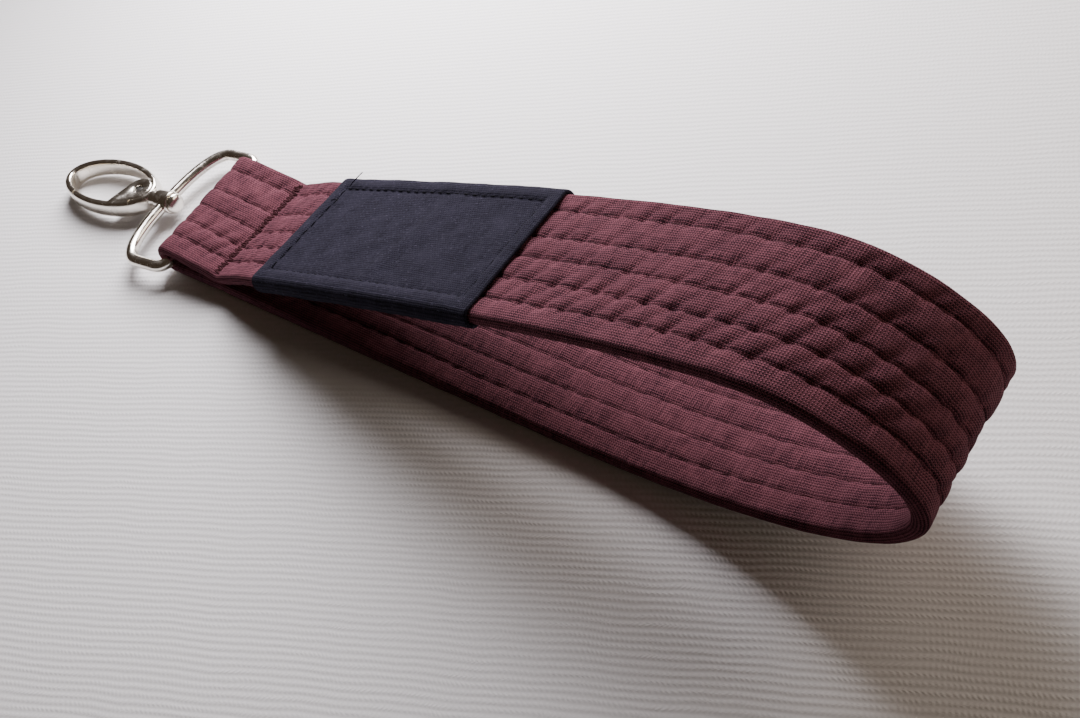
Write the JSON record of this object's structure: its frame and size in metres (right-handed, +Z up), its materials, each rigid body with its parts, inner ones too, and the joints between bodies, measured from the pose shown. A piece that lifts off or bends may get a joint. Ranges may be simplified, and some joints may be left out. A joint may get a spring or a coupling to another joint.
{
  "type": "wristlet key strap",
  "caption": "A flat quilted fabric strap sewn into a wrist loop round a D-ring, with a patch wrapped over its splice and a swivelling oval clasp whose sprung gate clips onto keys or a bag",
  "frame": {"origin": "on the flat underside of the strap, 60 mm from the D-ring's bar towards the loop's round end, in the middle of the strap's width", "axes": "+X runs along the strap from the clasp to the loop's round end, +Y across the strap, +Z up from the table the strap lies on"},
  "size_m": [0.2325, 0.0399, 0.0429],
  "materials": {
    "maroon_cotton": "matte shot cotton weave, quilted",
    "navy_cotton": "matte plain weave with light flecks",
    "cotton_batting": "needled wadding",
    "maroon_thread": "twisted sewing thread",
    "navy_thread": "twisted sewing thread",
    "polished_nickel": "polished nickel plate on a zinc casting",
    "spring_steel": "drawn wire"
  },
  "bodies": {
    "strap": {"strap_cover": "maroon_cotton", "strap_batting": "cotton_batting", "splice_patch": "navy_cotton", "quilt_thread_1": "maroon_thread", "quilt_thread_2": "maroon_thread", "quilt_thread_3": "maroon_thread", "quilt_thread_4": "maroon_thread", "quilt_thread_5": "maroon_thread", "bobbin_thread_1": "maroon_thread", "bobbin_thread_2": "maroon_thread", "bobbin_thread_3": "maroon_thread", "bobbin_thread_4": "maroon_thread", "bobbin_thread_5": "maroon_thread", "tack_thread": "maroon_thread", "tack_bobbin_thread": "maroon_thread", "patch_thread": "navy_thread", "patch_bobbin_thread": "navy_thread"},
    "ring": {"d_ring": "polished_nickel"},
    "clasp": {"hook_body": "polished_nickel", "gate_pin": "spring_steel", "gate_spring": "spring_steel"},
    "gate": {"gate": "polished_nickel"}
  },
  "joints": [
    {"name": "d_ring_swing", "type": "hinge", "parent": "strap", "child": "ring", "pos_m": [-0.06, 0, 0.0039], "axis": [-0.0872, 0.9962, 0], "range_deg": [-140, 140]},
    {"name": "hook_swivel", "type": "hinge", "parent": "ring", "child": "clasp", "pos_m": [-0.07553, -0.00136, 0.00339], "axis": [-0.9957, -0.0871, -0.0327], "continuous": true},
    {"name": "gate_hinge", "type": "hinge", "parent": "clasp", "child": "gate", "pos_m": [-0.08439, -0.00213, 0.0031], "axis": [0.0326, 0.0029, -0.9995], "range_deg": [0, 28], "stiffness_Nm_per_rad": 0.02, "springref_deg": -20.05, "deforming": ["gate_spring"]}
  ]
}
